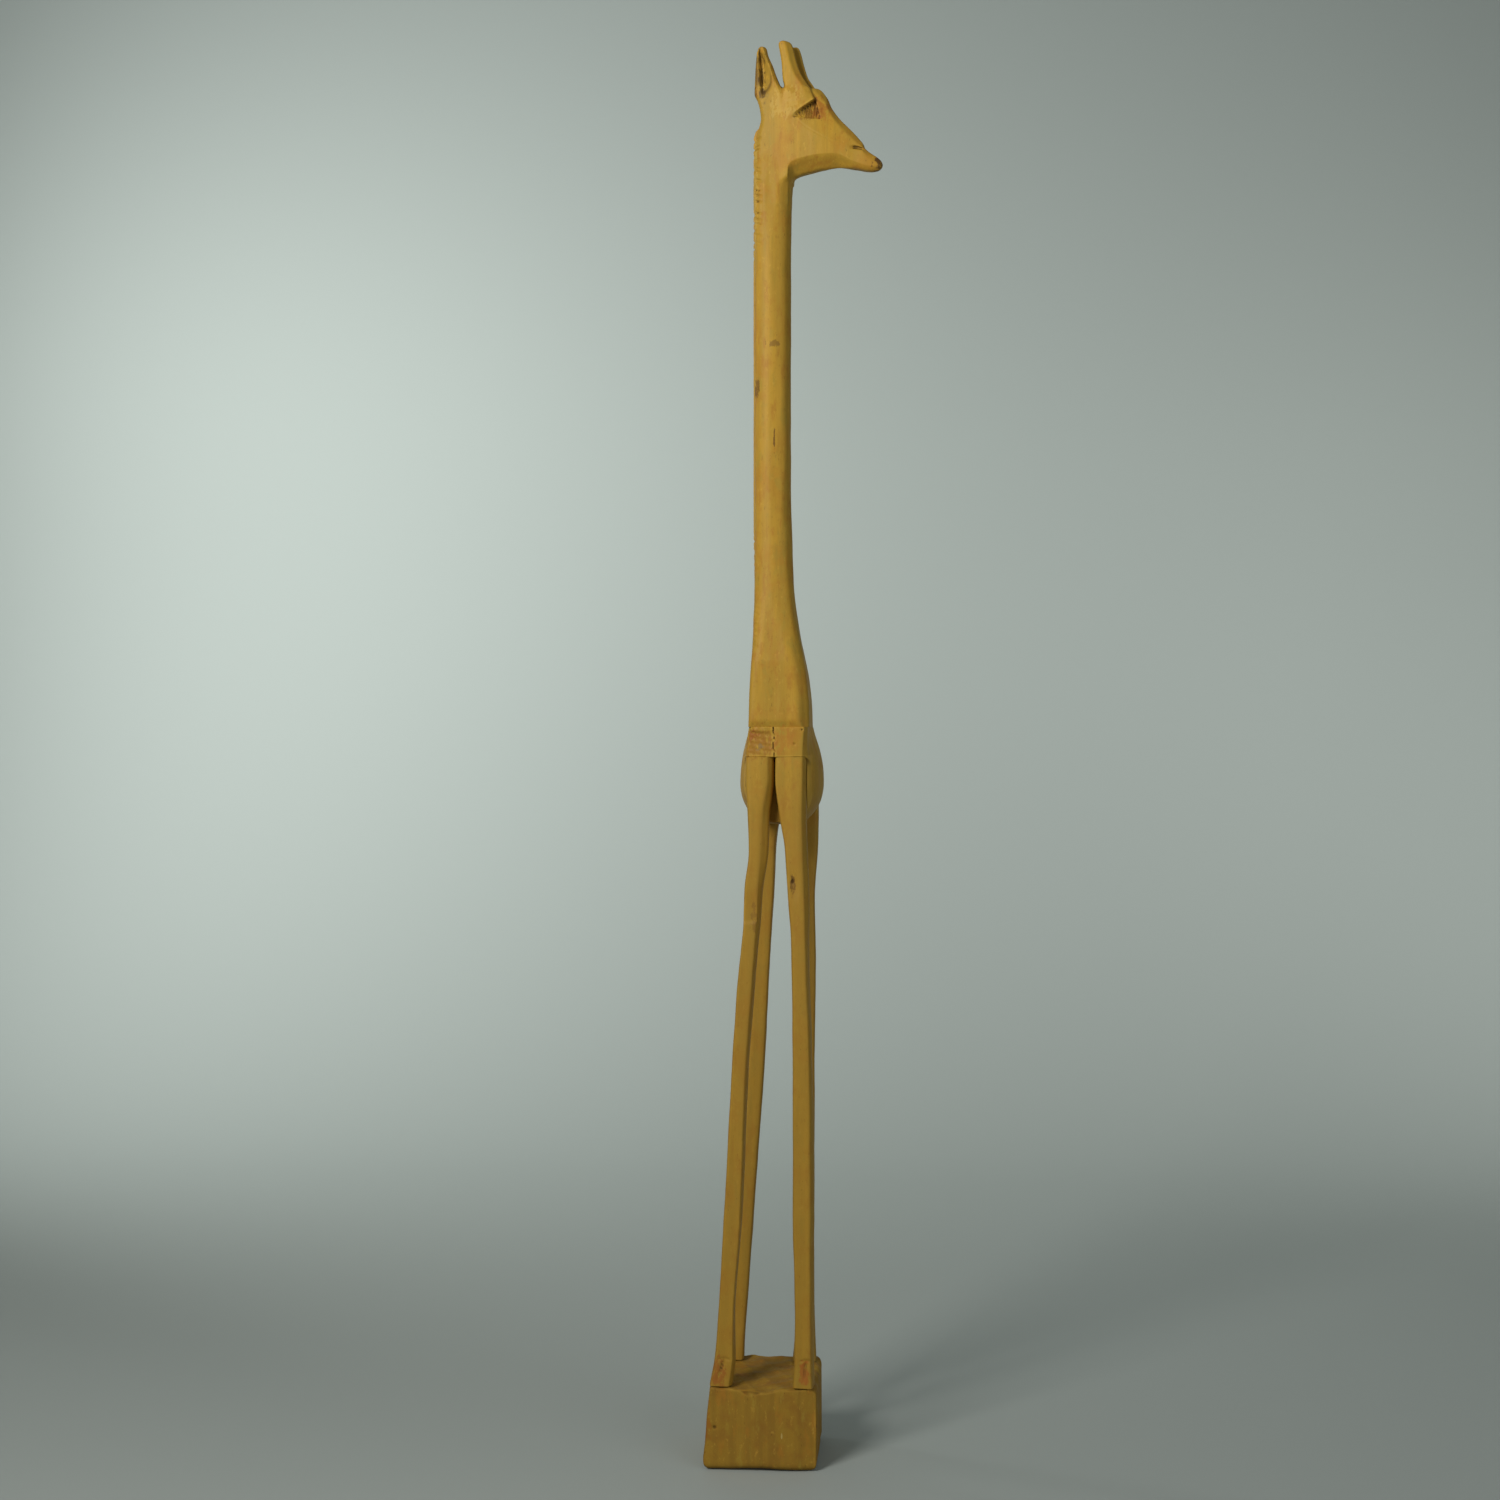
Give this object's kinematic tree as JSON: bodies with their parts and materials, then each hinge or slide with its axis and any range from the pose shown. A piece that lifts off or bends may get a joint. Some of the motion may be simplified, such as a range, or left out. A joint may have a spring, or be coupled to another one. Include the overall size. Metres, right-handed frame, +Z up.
{
  "type": "carved giraffe statue",
  "caption": "Tall slender standing giraffe in carved wood, head turned to one side, on a square block base.",
  "frame": {"origin": "centre of the flat underside of the block", "axes": "+Z up along the legs and neck; the chest and front legs face -Y; the head points along +X, so +X is the giraffe's own left"},
  "size_m": [0.1241, 0.0792, 0.989],
  "materials": {
    "carved_wood": "hand-carved, satin oiled, ochre yellow-brown with darker grain",
    "block_wood": "hand-carved, satin oiled, browner, with a rough sawn top and a drying crack",
    "dowel_wood": "turned, bare"
  },
  "bodies": {
    "root": {"base_block": "block_wood", "leg_front_right": "carved_wood", "leg_front_left": "carved_wood", "leg_rear_right": "carved_wood", "leg_rear_left": "carved_wood", "body": "carved_wood", "tail": "carved_wood", "neck_dowel": "dowel_wood", "neck": "carved_wood", "mane": "carved_wood", "head_dowel": "dowel_wood", "head": "carved_wood", "horn_right": "carved_wood", "horn_left": "carved_wood", "ear_right": "carved_wood", "ear_left": "carved_wood"}
  },
  "joints": []
}
